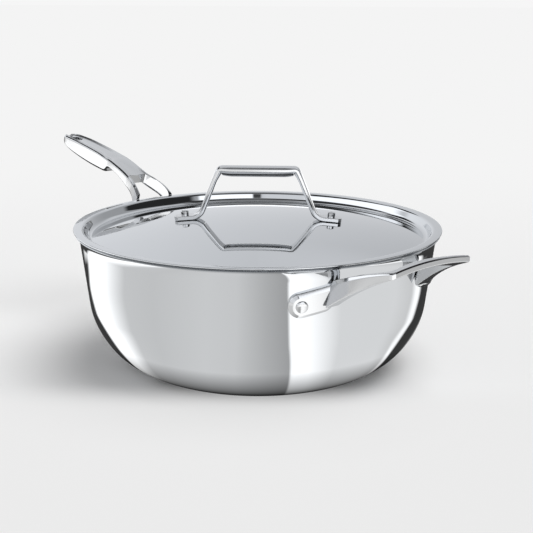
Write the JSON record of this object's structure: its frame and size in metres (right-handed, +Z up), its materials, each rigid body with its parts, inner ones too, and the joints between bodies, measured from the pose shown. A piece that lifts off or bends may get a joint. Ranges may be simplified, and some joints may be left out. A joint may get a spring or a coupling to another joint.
{
  "type": "chefs pan with lid",
  "caption": "Clad steel chef's pan with swept sides, a forked long handle and a helper handle riveted on, and a recessed lid with a riveted strap handle that lifts off.",
  "frame": {"origin": "The centre of the pan's flat base, on the surface that it stands on.", "axes": "+Z is up, along the pan's axis. +X runs from the pan's axis to the middle of the helper handle, and the long handle lies along -X. +Y is to the left of +X seen from above."},
  "size_m": [0.4909, 0.3, 0.1658],
  "materials": {
    "polished_steel": "mirror-polished stainless steel",
    "lining_steel": "satin stainless steel with fine turned lines",
    "cast_steel": "cast stainless steel, polished to a soft sheen",
    "rivet_steel": "polished stainless steel",
    "core_aluminium": "bonded aluminium core, bare at the cut edge"
  },
  "bodies": {
    "pan": {"pan_outer_skin": "polished_steel", "pan_aluminium_core": "core_aluminium", "pan_lining": "lining_steel", "long_handle": "cast_steel", "long_handle_rivet_left": "rivet_steel", "long_handle_rivet_right": "rivet_steel", "helper_handle": "cast_steel", "helper_handle_rivet_left": "rivet_steel", "helper_handle_rivet_right": "rivet_steel"},
    "lid": {"lid_shell": "polished_steel", "lid_handle": "cast_steel", "lid_handle_rivet_left": "rivet_steel", "lid_handle_rivet_right": "rivet_steel"}
  },
  "joints": [
    {"name": "lid_lift", "type": "slide", "parent": "pan", "child": "lid", "axis": [0, 0, 1], "range_m": [0, 0.15]}
  ]
}
